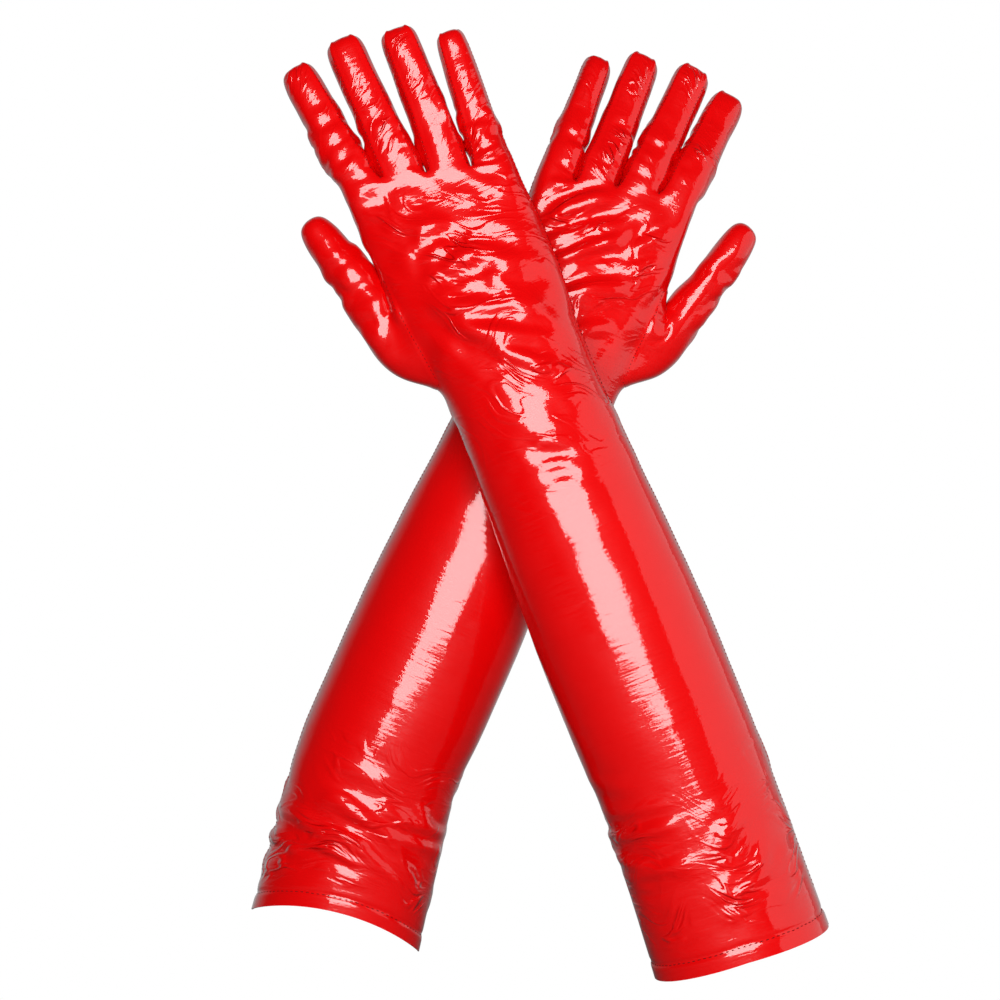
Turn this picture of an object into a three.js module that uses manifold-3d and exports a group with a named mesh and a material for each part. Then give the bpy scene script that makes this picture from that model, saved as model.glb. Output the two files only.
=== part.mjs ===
// A pair of opera gloves in patent vinyl, as worn and crossed: the left glove stands behind, the right one in front.
// Each glove is cut as a real one is: a back panel, a palm panel, a thumb piece, fourchettes (the strips on the
// inner sides of the fingers), a turned-up hem and its thread. The panels are cut again at the elbow, the wrist and
// the finger roots, where the fabric bends.
// Millimetres. A glove's own frame: X towards the thumb, Y towards the palm, Z from the cuff to the fingertips.
// Row frame: +Z up, the origin is the centre of the left glove's cuff rim, and -Y is the side that the backs face.
import * as THREE from "three";
import { mergeVertices } from "three/addons/utils/BufferGeometryUtils.js";
import Module from "manifold-3d";

// ---------- driving dimensions ----------
const WALL = 0.8; // coated fabric with its knit backing
const GAP = 0.3; // between pieces that are sewn to each other
const CUFF_LENGTH = 80; // rim to elbow
const FOREARM_LENGTH = 212; // elbow to wrist
const PALM_LENGTH = 112; // wrist to the middle of the finger roots
const CUFF = { width: 89, depth: 75 };
const ELBOW = { width: 85, depth: 72 };
const FOREARM = { width: 87, depth: 74 };
const WRIST = { width: 73, depth: 54 };
const PALM = { width: 84, depth: 40 };
const ROOTS = { width: 83, depth: 20 }; // the hand where the fingers leave it
const ROOT_SLANT = 17; // degrees: the index finger starts further along than the little finger
const HEM_HEIGHT = 8.4;
const THREAD = 0.5;
const CROSSING_GAP = 5.13; // between the two sleeves where they cross

// Where each finger leaves the hand, across from the middle of the root line, and its size.
const FINGERS = {
  index: { across: 32.4, length: 67, width: 19.6, depth: 18, tip: 16.5 },
  middle: { across: 11.4, length: 76, width: 20.4, depth: 18, tip: 17.5 },
  ring: { across: -10.6, length: 77, width: 19.8, depth: 17.5, tip: 17 },
  little: { across: -30.6, length: 72, width: 17.4, depth: 16, tip: 13.5 },
};
const FOURCHETTE_HEIGHT = 8; // the strip between back and palm on a finger's inner side
const TIP_ROUND = 9; // how far a fingertip takes to close
const THUMB = { width: 20, depth: 18, tip: 15.5, rootWidth: 25, rootDepth: 22, length: 92 };
const THUMB_ROOT = { across: 39, palmward: 7, along: 28 };

// How each glove is held: leans and bends in degrees, towards the thumb, and each digit's spread and curl.
const POSES = {
  left: {
    place: [0, 0, 0],
    lean: 14.3,
    elbow: 9.6,
    wrist: -4.2,
    bendsTo: 1, // its elbow and wrist fold palmwards, away from the glove in front
    spread: { thumb: 20, index: 7, middle: 5.4, ring: 1.5, little: 0.2 },
    curl: { index: 22, middle: 14, ring: 13, little: 14 },
  },
  right: {
    place: [198.9, 0, -2.6], // the crossing settles how far in front it stands
    lean: 18.8,
    elbow: 3.5,
    wrist: 1.7,
    bendsTo: -1, // its elbow and wrist fold backwards, away from the glove behind
    spread: { thumb: 13.5, index: 5, middle: 0.2, ring: -3.2, little: -5.6 },
    curl: { index: 5, middle: 2, ring: 0, little: 2 },
  },
};

const ROUNDNESS = 2.3; // power of the oval sections: 2 is an ellipse, more is boxier
const ARM_SIDES = 26; // corners of the sections of the arm and the hand
const DIGIT_SIDES = 14; // and of the fingers and the thumb
const FAR = 400; // reach of a cutting block
const degrees = THREE.MathUtils.degToRad;

// ---------- materials ----------
const vinyl = new THREE.MeshStandardMaterial({ color: 0xe00404, roughness: 0.12, metalness: 0 });
const vinylPalm = new THREE.MeshStandardMaterial({ color: 0xd80404, roughness: 0.14, metalness: 0 });
const backing = new THREE.MeshStandardMaterial({ color: 0xb01216, roughness: 0.8, metalness: 0 });
const thread = new THREE.MeshStandardMaterial({ color: 0xa80a0c, roughness: 0.6, metalness: 0 });

// ---------- solids ----------
const wasm = await Module();
wasm.setup();

function solid(geometry) {
  const bare = geometry.clone();
  bare.deleteAttribute("normal");
  bare.deleteAttribute("uv");
  const merged = mergeVertices(bare, 1e-4);
  return new wasm.Manifold(
    new wasm.Mesh({
      numProp: 3,
      vertProperties: new Float32Array(merged.attributes.position.array),
      triVerts: new Uint32Array(merged.index.array),
    }),
  );
}

function node(name, made, material) {
  const { numProp, numVert, vertProperties, triVerts } = made.getMesh();
  const points = new Float32Array(numVert * 3);
  for (let i = 0; i < numVert; i++) {
    points.set(vertProperties.subarray(i * numProp, i * numProp + 3), i * 3);
  }
  const geometry = new THREE.BufferGeometry();
  geometry.setAttribute("position", new THREE.BufferAttribute(points, 3));
  geometry.setIndex(new THREE.BufferAttribute(triVerts, 1));
  geometry.computeVertexNormals();
  const mesh = new THREE.Mesh(geometry, material);
  mesh.name = name;
  return mesh;
}

// A closed solid through oval sections { at, width, depth }, along +Z.
function loft(sections, sides) {
  const rows = sections.length - 1;
  const geometry = new THREE.CylinderGeometry(1, 1, 1, sides, rows);
  geometry.rotateX(Math.PI / 2);
  const place = geometry.attributes.position;
  for (let i = 0; i < place.count; i++) {
    const section = sections[Math.round((place.getZ(i) + 0.5) * rows)];
    const angle = Math.atan2(place.getY(i), place.getX(i));
    const onRim = Math.hypot(place.getX(i), place.getY(i)) > 0.5 ? 0.5 : 0;
    const oval = (value) => Math.sign(value) * Math.abs(value) ** (2 / ROUNDNESS);
    place.setXYZ(
      i,
      onRim * section.width * oval(Math.cos(angle)),
      onRim * section.depth * oval(Math.sin(angle)),
      section.at,
    );
  }
  return geometry;
}

// The same sections, smaller (or larger, for a negative inset) all round.
function inset(sections, by) {
  return sections.map(({ at, width, depth }) => ({ at, width: width - 2 * by, depth: depth - 2 * by }));
}

// A block from one corner to the other, as a cutter.
function block(low, high) {
  const size = high.map((value, i) => value - low[i]);
  const middle = high.map((value, i) => (value + low[i]) / 2);
  return new THREE.BoxGeometry(...size).translate(...middle);
}

// Everything above the plane through height z that tilts towards +X by so many degrees.
function above(z, tilt) {
  return solid(block([-FAR, -FAR, 0], [FAR, FAR, FAR]).rotateY(degrees(tilt)).translate(0, 0, z));
}

// Everything below that plane.
function below(z, tilt) {
  return solid(block([-FAR, -FAR, -FAR], [FAR, FAR, 0]).rotateY(degrees(tilt)).translate(0, 0, z));
}

const backHalf = solid(block([-FAR, -FAR, -FAR], [FAR, -GAP / 2, FAR]));
const palmHalf = solid(block([-FAR, GAP / 2, -FAR], [FAR, FAR, FAR]));

// ---------- tubes of fabric ----------
// Sections from z = 0 to length, run on past both ends so that a slanting cut still finds fabric.
function tubeSections(length, steps) {
  const sections = steps.map(([share, { width, depth }]) => ({ at: share * length, width, depth }));
  const first = sections[0];
  const last = sections[sections.length - 1];
  return [{ ...first, at: first.at - first.width / 4 }, ...sections, { ...last, at: last.at + last.width / 4 }];
}

function between(a, b, share) {
  const mix = THREE.MathUtils.lerp;
  return { width: mix(a.width, b.width, share), depth: mix(a.depth, b.depth, share) };
}

function tube(sections) {
  const inner = inset(sections, WALL);
  inner[0].at -= 1;
  inner[inner.length - 1].at += 1;
  return solid(loft(sections, ARM_SIDES)).subtract(solid(loft(inner, ARM_SIDES)));
}

const cuffSections = tubeSections(CUFF_LENGTH, [
  [0, CUFF],
  [0.5, between(CUFF, ELBOW, 0.6)],
  [1, ELBOW],
]);

const sleeveSections = tubeSections(FOREARM_LENGTH, [
  [0, ELBOW],
  [0.18, FOREARM],
  [0.4, between(FOREARM, WRIST, 0.06)],
  [0.6, between(FOREARM, WRIST, 0.32)],
  [0.8, between(FOREARM, WRIST, 0.76)],
  [1, WRIST],
]);

const handSections = tubeSections(PALM_LENGTH, [
  [0, WRIST],
  [0.22, between(WRIST, PALM, 0.35)],
  [0.5, PALM],
  [0.75, between(PALM, ROOTS, 0.55)],
  [0.9, ROOTS],
  [1, ROOTS],
]);

// ---------- the crossing ----------
// The gloves lie in two upright planes, which are as far apart as the sleeves are deep where they cross, and a gap.
function sleeveLine({ place: [x, , z], lean, elbow }, mirror) {
  const towards = (tilt) => new THREE.Vector2(mirror * Math.sin(degrees(tilt)), Math.cos(degrees(tilt)));
  return { from: new THREE.Vector2(x, z).addScaledVector(towards(lean), CUFF_LENGTH), along: towards(lean + elbow) };
}

function sleeveDepth(height) {
  const at = THREE.MathUtils.clamp(height, 0, FOREARM_LENGTH);
  const next = sleeveSections.findIndex((section) => section.at >= at);
  const [low, high] = sleeveSections.slice(next - 1, next + 1);
  return THREE.MathUtils.mapLinear(at, low.at, high.at, low.depth, high.depth);
}

function planesApart() {
  const [left, right] = [sleeveLine(POSES.left, 1), sleeveLine(POSES.right, -1)];
  const step = right.from.clone().sub(left.from);
  const turn = left.along.cross(right.along);
  const depths = [step.cross(right.along), step.cross(left.along)].map((reach) => sleeveDepth(reach / turn));
  return (depths[0] + depths[1]) / 2 + CROSSING_GAP;
}

POSES.right.place[1] = -planesApart();

// ---------- pieces ----------
function cuffPieces(side, pose) {
  const shell = tube(cuffSections)
    .intersect(above(0, 0))
    .intersect(below(CUFF_LENGTH - GAP / 2, pose.elbow / 2));
  const folded = tube(inset(cuffSections, WALL + GAP))
    .intersect(above(0, 0))
    .intersect(below(HEM_HEIGHT, 0));
  const threadSections = inset(cuffSections, -GAP - THREAD);
  const threadRing = solid(loft(threadSections, ARM_SIDES))
    .subtract(solid(loft(inset(threadSections, THREAD), ARM_SIDES)))
    .intersect(above(HEM_HEIGHT - THREAD, 0))
    .intersect(below(HEM_HEIGHT, 0));
  return [
    node(`${side}_cuff_back`, shell.intersect(backHalf), vinyl),
    node(`${side}_cuff_palm`, shell.intersect(palmHalf), vinylPalm),
    node(`${side}_hem_facing`, folded, backing),
    node(`${side}_hem_stitching`, threadRing, thread),
  ];
}

function sleevePieces(side, pose) {
  const shell = tube(sleeveSections)
    .intersect(above(GAP / 2, -pose.elbow / 2))
    .intersect(below(FOREARM_LENGTH - GAP / 2, pose.wrist / 2));
  return [
    node(`${side}_sleeve_back`, shell.intersect(backHalf), vinyl),
    node(`${side}_sleeve_palm`, shell.intersect(palmHalf), vinylPalm),
  ];
}

// The thumb in the hand's frame: a tube that leaves the hand's side at a slant.
function thumbSolids(pose) {
  const place = new THREE.Matrix4()
    .makeRotationY(degrees(pose.spread.thumb))
    .setPosition(THUMB_ROOT.across, THUMB_ROOT.palmward, THUMB_ROOT.along);
  const [outer, inner] = [thumbSections(), hollow(thumbSections())].map((sections) =>
    solid(loft(sections, DIGIT_SIDES).applyMatrix4(place)),
  );
  return { outer, inner };
}

function thumbSections() {
  const { width, depth, tip, rootWidth, rootDepth, length } = THUMB;
  const tipShape = { width: tip, depth: (tip * depth) / width };
  const root = { width: rootWidth, depth: rootDepth };
  return [
    { at: -rootWidth / 2, width: rootWidth * 0.45, depth: rootDepth * 0.45 },
    { at: -rootWidth / 4, width: rootWidth * 0.85, depth: rootDepth * 0.85 },
    { at: 0, ...root },
    { at: length * 0.35, ...between(root, { width, depth }, 0.7) },
    { at: length * 0.55, width, depth },
    ...closedTip(tipShape, length),
  ];
}

// The last sections of a finger, closing over TIP_ROUND in a quarter circle.
function closedTip({ width, depth }, length) {
  return [0, 35, 60, 82].map((angle) => ({
    at: length - TIP_ROUND + TIP_ROUND * Math.sin(degrees(angle)),
    width: width * Math.cos(degrees(angle)),
    depth: depth * Math.cos(degrees(angle)),
  }));
}

// The hollow of a finger: the same sections less the wall, stopping a wall short of the tip.
function hollow(sections) {
  const { at } = sections[sections.length - 1];
  return sections
    .filter((section) => section.width > 4 * WALL)
    .map((section) => ({
      at: Math.min(section.at, at - WALL),
      width: section.width - 2 * WALL,
      depth: section.depth - 2 * WALL,
    }));
}

const handOuter = solid(loft(inset(handSections, -GAP), ARM_SIDES));
const rootCut = -ROOT_SLANT;

function handPieces(side, pose) {
  const shell = tube(handSections)
    .intersect(above(GAP / 2, -pose.wrist / 2))
    .intersect(below(PALM_LENGTH - GAP / 2, rootCut))
    .subtract(thumbSolids(pose).inner);
  return [
    node(`${side}_hand_back`, shell.intersect(backHalf), vinyl),
    node(`${side}_hand_palm`, shell.intersect(palmHalf), vinylPalm),
  ];
}

function thumbPiece(side, pose) {
  const { outer, inner } = thumbSolids(pose);
  return node(`${side}_thumb`, outer.subtract(inner).subtract(handOuter), vinyl);
}

// A finger in its own frame: its axis on +Z from the root line, which cuts it at a slant.
function fingerPieces(side, name, finger, spread) {
  const { length, width, depth, tip } = finger;
  const sections = [
    { at: -width / 2, width, depth },
    { at: 0, width, depth },
    { at: length * 0.5, ...between({ width, depth }, { width: tip, depth: depth * 0.94 }, 0.35) },
    ...closedTip({ width: tip, depth: depth * 0.9 }, length),
  ];
  const inner = hollow(sections);
  inner[0].at -= 1;
  const shell = solid(loft(sections, DIGIT_SIDES))
    .subtract(solid(loft(inner, DIGIT_SIDES)))
    .intersect(above(GAP / 2, rootCut - spread));

  const high = FOURCHETTE_HEIGHT / 2;
  const strips = { index: [-1], middle: [1, -1], ring: [1, -1], little: [1] }[name];
  const pieces = [];
  let rest = shell;
  for (const facing of strips) {
    const reach = (x) => [facing * x, facing * FAR].sort((a, b) => a - b);
    const region = (margin) => {
      const [low, far] = reach(tip / 4);
      const top = length - TIP_ROUND + margin;
      return solid(block([low, -high - margin, -FAR], [far, high + margin, top]));
    };
    const neighbour = facing > 0 ? "thumb_side" : "outer_side";
    pieces.push(node(`${side}_${name}_fourchette_${neighbour}`, shell.intersect(region(0)), vinylPalm));
    rest = rest.subtract(region(GAP));
  }
  pieces.push(node(`${side}_${name}_back`, rest.intersect(backHalf), vinyl));
  pieces.push(node(`${side}_${name}_palm`, rest.intersect(palmHalf), vinylPalm));
  return pieces;
}

// ---------- assembly ----------
// A group whose origin is the hinge, holding pieces that are drawn about the middle of the joint.
function hinged(name, hinge, turn, drawnFrom, pieces) {
  const group = new THREE.Group();
  group.name = name;
  group.position.set(...hinge);
  group.rotation.set(...turn.map(degrees), "YXZ");
  const drawn = new THREE.Group();
  drawn.position.set(...drawnFrom);
  drawn.add(...pieces);
  group.add(drawn);
  return { group, drawn };
}

function glove(side) {
  const pose = POSES[side];
  const mirror = side === "left" ? 1 : -1;
  const whole = new THREE.Group();
  whole.name = `${side}_cuff`;
  whole.position.set(...pose.place);
  whole.rotation.y = degrees(mirror * pose.lean);
  whole.scale.x = mirror;
  whole.add(...cuffPieces(side, pose));

  const elbowHinge = (pose.bendsTo * ELBOW.depth) / 2;
  const wristHinge = (pose.bendsTo * WRIST.depth) / 2;
  const sleeve = hinged(
    `${side}_sleeve`,
    [0, elbowHinge, CUFF_LENGTH],
    [0, pose.elbow, 0],
    [0, -elbowHinge, 0],
    sleevePieces(side, pose),
  );
  const hand = hinged(
    `${side}_hand`,
    [0, wristHinge, FOREARM_LENGTH],
    [0, pose.wrist, 0],
    [0, -wristHinge, 0],
    handPieces(side, pose),
  );
  whole.add(sleeve.group);
  sleeve.drawn.add(hand.group);

  const palmSurface = ROOTS.depth / 2 - GAP;
  for (const [name, finger] of Object.entries(FINGERS)) {
    const hinge = [finger.across, palmSurface, PALM_LENGTH + finger.across * Math.tan(degrees(ROOT_SLANT))];
    const turn = [-pose.curl[name], pose.spread[name], 0];
    const pieces = fingerPieces(side, name, finger, pose.spread[name]);
    hand.drawn.add(hinged(`${side}_${name}`, hinge, turn, [0, -finger.depth / 2, 0], pieces).group);
  }
  const { across, palmward, along } = THUMB_ROOT;
  const thumbHinge = [across, palmward, along - THUMB.rootWidth / 2]; // under the lowest point of its seam
  const thumbBack = thumbHinge.map((value) => -value);
  hand.drawn.add(hinged(`${side}_thumb_hinge`, thumbHinge, [0, 0, 0], thumbBack, [thumbPiece(side, pose)]).group);
  return whole;
}

const gloves = new THREE.Group();
gloves.add(glove("left"), glove("right"));

export default gloves;
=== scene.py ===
# %% [markdown]
# # A pair of patent vinyl opera gloves
# Each glove is a thin skin stretched over an arm and a hand. It is grown from one ring of corners at the cuff:
# the ring is extruded up the arm, parts into four fingers and a thumb, and is then subdivided, creased and bent
# into the way it is worn. The first cell loads the working model, which gives the joints and their bodies.

# %% Load the frame
import math

import bmesh
import bpy
import numpy as np
from mathutils import Matrix, Vector
from mathutils.bvhtree import BVHTree


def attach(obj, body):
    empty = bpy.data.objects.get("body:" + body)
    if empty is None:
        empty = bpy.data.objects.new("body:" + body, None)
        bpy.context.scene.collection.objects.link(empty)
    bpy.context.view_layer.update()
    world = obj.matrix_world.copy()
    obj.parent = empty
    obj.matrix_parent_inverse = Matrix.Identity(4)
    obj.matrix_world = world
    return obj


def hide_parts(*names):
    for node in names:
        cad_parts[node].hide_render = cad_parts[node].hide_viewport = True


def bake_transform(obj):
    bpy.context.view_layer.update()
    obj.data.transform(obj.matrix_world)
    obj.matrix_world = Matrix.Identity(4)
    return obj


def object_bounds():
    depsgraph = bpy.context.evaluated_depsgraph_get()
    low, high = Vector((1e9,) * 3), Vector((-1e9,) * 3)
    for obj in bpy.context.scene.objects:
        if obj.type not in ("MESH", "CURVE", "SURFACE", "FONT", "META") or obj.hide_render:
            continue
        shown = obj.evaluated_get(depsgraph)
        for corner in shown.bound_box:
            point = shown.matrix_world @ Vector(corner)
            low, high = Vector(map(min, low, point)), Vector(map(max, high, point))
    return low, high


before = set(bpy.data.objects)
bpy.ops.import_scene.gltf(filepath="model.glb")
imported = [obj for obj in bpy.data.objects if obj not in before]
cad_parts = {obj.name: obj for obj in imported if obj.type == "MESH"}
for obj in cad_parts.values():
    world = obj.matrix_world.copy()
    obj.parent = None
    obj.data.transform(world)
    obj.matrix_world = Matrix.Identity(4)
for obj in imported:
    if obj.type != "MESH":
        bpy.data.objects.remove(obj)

cad_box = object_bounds()
SIDES = ("left", "right")
MM = 0.001
scene = bpy.context.scene


def add_object(name, data):
    made = bpy.data.objects.new(name, data)
    scene.collection.objects.link(made)
    return made


def mesh_from(bm, name):
    """A mesh with what bm holds; bm is freed."""
    mesh = bpy.data.meshes.new(name)
    bm.to_mesh(mesh)
    bm.free()
    return mesh


# %% [markdown]
# ## Camera
# A portrait lens stands at the height of the wrists, square on to the crossing, far enough back that both gloves
# are seen almost without perspective.

# %% Camera
VIEW_CENTRE = Vector((0.0825, -0.0305, 0.2135))
VIEW_DISTANCE = 1.2
VIEW_WIDTH = 0.5

camera_data = bpy.data.cameras.new("camera")
camera = add_object("camera", camera_data)
camera.location = VIEW_CENTRE - Vector((0, VIEW_DISTANCE, 0))
camera.rotation_euler = (math.radians(90), 0, 0)
camera_data.lens = camera_data.sensor_width * VIEW_DISTANCE / VIEW_WIDTH
scene.camera = camera
scene.view_settings.view_transform = "Standard"
print("lens", round(camera_data.lens, 1), "mm")

# %% [markdown]
# ## The glove's cut
# All sizes are in millimetres, in the glove's own frame: X towards the thumb, Y towards the palm, Z from the cuff
# to the fingertips, with the arm straight. The oval sections of the arm and hand are given at a few heights, and
# every height between is interpolated.

# %% Sizes
ELBOW_AT = 80
WRIST_AT = 292
ROOTS_AT = 404
GLOVE_HEIGHTS = [0, 40, 80, 118, 165, 207, 250, 292, 317, 348, 376, 393, 404]
GLOVE_WIDTHS = [89, 86.6, 85, 87, 86.6, 82.5, 76.4, 73, 77, 84, 84.5, 83.5, 83]
GLOVE_DEPTHS = [75, 73, 72, 74, 72.8, 67.6, 58.8, 54, 48, 38.4, 29.2, 23.4, 20.8]
BOXINESS = 2.08  # power of the oval: 2 is an ellipse
ARCH = 2.5  # and of the hand, which is flatter
ROOT_SLANT = math.tan(math.radians(17))  # the index finger starts further along than the little finger
AROUND = 20  # corners of a section, counted from the thumb's edge over the back
LITTLE_EDGE = AROUND // 2  # the corner on the little finger's edge

# across the hand, length, width at the root, depth, and width at the tip
FINGERS = {
    "index": (32.4, 67, 19.6, 18, 16.5),
    "middle": (11.4, 76, 20.4, 18, 17.5),
    "ring": (-10.6, 77, 19.8, 17.5, 17),
    "little": (-30.6, 72, 17.4, 16, 13.5),
}
WEBS = (42.2, 21.9, 0.4, -20.6, -39.3)  # where the fingers part, from the index's free edge to the little one's
THUMB_ROOT = Vector((39, 7, WRIST_AT + 28))

# how each glove is worn: its place in the frame, leans and bends in degrees, spreads and curls
WORN = {
    "left": {
        "place": (0, 0, 0),
        "mirror": 1,
        "lean": 14.3,
        "elbow": 9.6,
        "wrist": -4.2,
        "spread": {"thumb": 21.5, "index": 7, "middle": 5.4, "ring": 1.5, "little": 0.2},
        "curl": {"index": 22, "middle": 14, "ring": 13, "little": 14},
    },
    "right": {
        "place": (198.9, -61, -2.6),
        "mirror": -1,
        "lean": 18.8,
        "elbow": 3.5,
        "wrist": 1.7,
        "spread": {"thumb": 15, "index": 5, "middle": 0.2, "ring": -3.2, "little": -5.6},
        "curl": {"index": 5, "middle": 2, "ring": 0, "little": 2},
    },
}


def width_at(z):
    return np.interp(z, GLOVE_HEIGHTS, GLOVE_WIDTHS)


def depth_at(z):
    return np.interp(z, GLOVE_HEIGHTS, GLOVE_DEPTHS)


def smoothstep(low, high, value):
    t = np.clip((np.asarray(value, float) - low) / (high - low), 0, 1)
    return t * t * (3 - 2 * t)


print("glove length", ROOTS_AT + FINGERS["middle"][1], "mm")

# %% [markdown]
# ## Growing the cage
# A cage is the few corners that a subdivision surface smooths into the skin. One helper extrudes a closed loop of
# corners and gives the new loop in the same order, so each new ring can be put where the next section lies.

# %% Loops


def loop_edges(bm, loop):
    return [bm.edges.get((a, b)) or bm.edges.new((a, b)) for a, b in zip(loop, loop[1:] + loop[:1])]


def extrude_loop(bm, loop, points):
    """Extrude a closed loop of corners and put its copy, in the same order, at the points."""
    made = bmesh.ops.extrude_edge_only(bm, edges=loop_edges(bm, loop))["geom"]
    new = [item for item in made if isinstance(item, bmesh.types.BMVert)]
    copy = [min(new, key=lambda v: (v.co - old.co).length_squared) for old in loop]
    for vert, point in zip(copy, points):
        vert.co = point
    return copy


def oval(turn, width, depth):
    """A point of a boxy oval; turn 0 is the thumb's edge and a quarter turn is the middle of the back."""
    c, s = math.cos(turn), math.sin(turn)
    x = math.copysign(abs(c) ** (2 / BOXINESS), c) * width / 2
    y = -math.copysign(abs(s) ** (2 / BOXINESS), s) * depth / 2
    return x, y


def section(z):
    """The corners of the glove at one height. Near the knuckles the columns move to where the fingers part."""
    width, depth = width_at(z), depth_at(z)
    gather = float(smoothstep(WRIST_AT + 20, ROOTS_AT - 15, z))
    slant = float(smoothstep(WRIST_AT + 5, ROOTS_AT, z))
    middles = [(a + b) / 2 for a, b in zip(WEBS, WEBS[1:])]
    across = [WEBS[0]] + [x for pair in zip(middles, WEBS[1:]) for x in pair]
    corners = []
    for i in range(AROUND):
        x, y = oval(2 * math.pi * i / AROUND, width, depth)
        if i % LITTLE_EDGE:
            column = min(i, AROUND - i) - 1
            x += (across[column] * 0.97 - x) * gather
            round_back = (1 - (2 * abs(x) / (width + 2)) ** ARCH) ** (1 / ARCH)
            knuckle = 0.92 + 0.06 * (column % 2)
            share = round_back + (knuckle - round_back) * float(smoothstep(ROOTS_AT - 30, ROOTS_AT, z))
            y += (math.copysign(depth / 2 * share, y) - y) * gather
        corners.append(Vector((x, y, z + x * ROOT_SLANT * slant)))
    return corners


# %% [markdown]
# ## Fingers and thumb
# A finger takes eight corners of the last ring: its share of the back and of the palm, and the crotch corners it
# has in common with its neighbours, which is where the strips between the fingers (the fourchettes) are sewn in.
# A glove's fingertips are blunt, because the seams end there in small corners.

# %% Finger frames


def finger_frame(side, name, bent=1.0):
    """The matrix from a finger's own frame, with its axis on Z, to the straight glove's.

    bent is the share of its curl.
    """
    across, _, _, depth, _ = FINGERS[name]
    worn = WORN[side]
    hinge = Vector((across, GLOVE_DEPTHS[-1] / 2 - 0.8, ROOTS_AT + across * ROOT_SLANT))
    turn = Matrix.Rotation(math.radians(worn["spread"][name]), 4, "Y")
    turn = turn @ Matrix.Rotation(math.radians(-worn["curl"][name] * bent), 4, "X")
    return Matrix.Translation(hinge) @ turn @ Matrix.Translation((0, -depth / 2, 0))


def thumb_frame(side):
    turn = Matrix.Rotation(math.radians(WORN[side]["spread"]["thumb"]), 4, "Y")
    return Matrix.Translation(THUMB_ROOT) @ turn


SMOOTHING_LOSS = 0.905  # an eight-cornered ring shrinks to this share when it is subdivided
FINGER_RING = ((1.04, 0), (0.74, -0.92), (0, -1), (-0.84, -0.9), (-1.04, 0), (-0.86, 0.9), (0, 1), (0.86, 0.9))


def finger_rings(side, name):
    """The rings of corners of one finger, from just past its root to its blunt tip."""
    _, length, width, depth, tip = FINGERS[name]
    rings = []
    heights = [7, 15, 24, 34, 45, length - 16, length - 7, length - 1.4]
    wider = [1.04, 1.05, 1.03, 1.0, 0.98, 1.0, 1.0, 0.78]
    deeper = [1.12, 1.14, 1.11, 1.06, 1.02, 1.04, 1.0, 0.76]
    bends = [0.5, 0.75, 0.92, 1, 1, 1, 1, 1]  # the curl begins softly, over the knuckle
    for height, more_width, more_depth, bent in zip(heights, wider, deeper, bends):
        place = finger_frame(side, name, bent)
        along = height / length
        half_width = (width + (tip - width) * along) / 2 * more_width / SMOOTHING_LOSS
        half_depth = depth * (1 - 0.1 * along) / 2 * more_depth / SMOOTHING_LOSS
        ring = [place @ Vector((x * half_width, y * half_depth, height)) for x, y in FINGER_RING]
        rings.append(ring)
    return rings


def thumb_rings(side):
    """The thumb leaves the hand's edge as a long oval hole and turns into a finger of its own."""
    place = thumb_frame(side)
    rings = []
    # height of the ring's middle, sideways shift, half width, half depth, and how far the ring is still turned
    steps = [
        (19, 3.4, 19.5, 11.2, 56),
        (31, 2.6, 15.2, 11.0, 34),
        (42, 1.0, 12.2, 10.6, 16),
        (53, 0.2, 10.8, 10, 5),
        (64, 0, 10.3, 9.6, 0),
        (74, -0.2, 9.2, 8.8, 0),
        (84, -0.4, 8.0, 7.8, 0),
        (91, -0.4, 5.2, 5, 0),
    ]
    for height, shift, half_width, half_depth, turned in steps:
        turn = Matrix.Rotation(math.radians(turned), 4, "Y")
        ring = []
        for j in range(12):
            angle = math.radians(180 - 30 * (j - 1))
            point = Vector((-math.cos(angle) * half_width, math.sin(angle) * half_depth, 0)) / 0.955
            ring.append(place @ (turn @ point + Vector((shift, 0, height))))
        rings.append(ring)
    return rings


# %% [markdown]
# ## One cage for a whole glove
# The arm's rings come from a circle that is extruded upwards. Each face remembers which piece of the glove it is
# part of, and each corner whether a seam runs through it, because subdivision carries both down to the fine mesh.

# %% Cage
PIECES = ("cuff", "sleeve", "hand", "index", "middle", "ring", "little", "thumb")
CUFF_ROWS, SLEEVE_ROWS, HAND_ROWS = 5, 20, 11
WEB_ROW = 9  # height of the last row below the line of the finger roots
SEAM_START = 2  # the row where the side seam's thread starts, above the hem
THUMB_DOWN, THUMB_ROWS = 8, 4  # the thumb's hole starts this many rows down and is this many high
CUFF_TOP, SLEEVE_TOP = 46, 258  # where the pieces part: clear of the bends at the elbow and the wrist


def row_heights():
    cuff = np.linspace(0, CUFF_TOP, CUFF_ROWS + 1)
    sleeve = np.linspace(CUFF_TOP, SLEEVE_TOP, SLEEVE_ROWS + 1)
    hand = np.linspace(SLEEVE_TOP, ROOTS_AT - WEB_ROW, HAND_ROWS + 1)
    return list(cuff) + list(sleeve[1:]) + list(hand[1:])


def web_line(last_section):
    """The last ring of the hand, on the slanting line where the fingers start."""
    share = depth_at(ROOTS_AT) / depth_at(ROOTS_AT - WEB_ROW)
    return [Vector((c.x, c.y * share, ROOTS_AT + c.x * ROOT_SLANT)) for c in last_section]


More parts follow.
